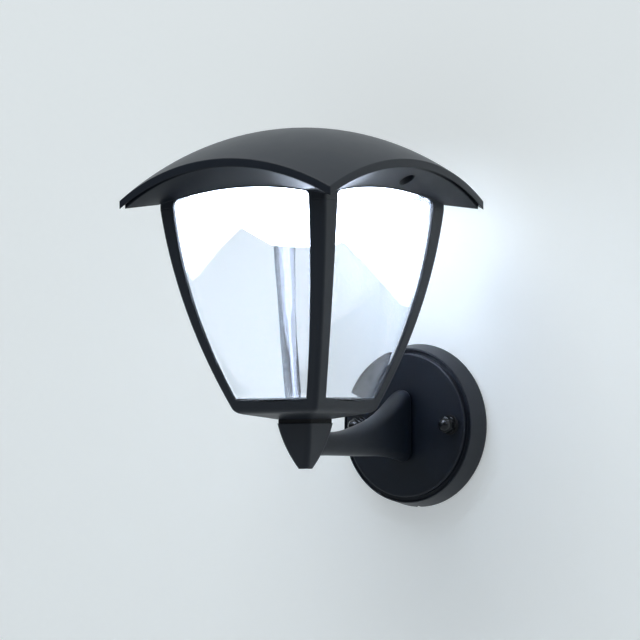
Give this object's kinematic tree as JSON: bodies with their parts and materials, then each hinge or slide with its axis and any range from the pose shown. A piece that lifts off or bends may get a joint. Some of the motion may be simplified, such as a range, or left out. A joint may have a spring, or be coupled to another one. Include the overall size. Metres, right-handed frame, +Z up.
{
  "type": "wall lantern",
  "caption": "Wall-mounted LED garden lantern: domed square roof, four curved posts, clear shade, cast arm, round wall plate with two cap nuts.",
  "frame": {"origin": "centre of the round wall plate, in the plane of the wall", "axes": "+Z up, +Y into the wall (the lantern stands in front of the wall at negative Y), +X to the right seen from the front"},
  "size_m": [0.1762, 0.2168, 0.2464],
  "materials": {
    "cast_anthracite": "satin",
    "clear_acrylic": "gloss",
    "opal_diffuser": "matte",
    "black_rubber": "matte",
    "led_phosphor": "matte",
    "board_white": "satin",
    "bare_aluminium": "satin",
    "zinc_steel": "satin",
    "black_steel": "gloss",
    "driver_plastic": "matte",
    "brass": "satin"
  },
  "bodies": {
    "lantern": {"roof": "cast_anthracite", "roof_screws": "zinc_steel", "head_frame": "cast_anthracite", "corner_screws": "zinc_steel", "cage": "cast_anthracite", "shade": "clear_acrylic", "shade_gasket": "black_rubber", "shade_pads": "black_rubber", "led_plate": "bare_aluminium", "led_board": "board_white", "led_chips": "led_phosphor", "board_screws": "zinc_steel", "diffuser": "opal_diffuser", "diffuser_screws": "zinc_steel", "driver": "driver_plastic", "driver_screws": "zinc_steel", "neck_gasket": "black_rubber", "neck_nipple": "zinc_steel", "neck_washer": "zinc_steel", "neck_nut": "zinc_steel", "arm": "cast_anthracite", "arm_screws": "zinc_steel", "arm_washers": "zinc_steel", "wall_plate": "cast_anthracite", "wall_gasket": "black_rubber", "earth_screw": "brass", "earth_washer": "brass", "terminal_block": "driver_plastic", "terminal_contacts": "brass", "terminal_screw": "zinc_steel", "mounting_bracket": "zinc_steel", "bracket_studs": "zinc_steel", "cable_grommet": "black_rubber"},
    "cap_nut_left": {"cap_nut_left": "black_steel"},
    "cap_nut_right": {"cap_nut_right": "black_steel"},
    "washer_left": {"washer_left": "black_rubber"},
    "washer_right": {"washer_right": "black_rubber"}
  },
  "joints": [
    {"name": "washer_left_travel", "type": "slide", "parent": "lantern", "child": "washer_left", "axis": [0, -1, 0], "range_m": [0, 0.0064]},
    {"name": "cap_nut_left_turn", "type": "hinge", "parent": "washer_left", "child": "cap_nut_left", "pos_m": [-0.037, -0.0186, 0], "axis": [0, -1, 0], "range_deg": [0, 2881]},
    {"name": "washer_right_travel", "type": "slide", "parent": "lantern", "child": "washer_right", "axis": [0, -1, 0], "range_m": [0, 0.0064]},
    {"name": "cap_nut_right_turn", "type": "hinge", "parent": "washer_right", "child": "cap_nut_right", "pos_m": [0.037, -0.0186, 0], "axis": [0, -1, 0], "range_deg": [0, 2881]}
  ],
  "couplings": [
    {"joint": "cap_nut_left_turn", "follows": "washer_left_travel", "rad_per_m": 7854},
    {"joint": "cap_nut_right_turn", "follows": "washer_right_travel", "rad_per_m": 7854}
  ]
}
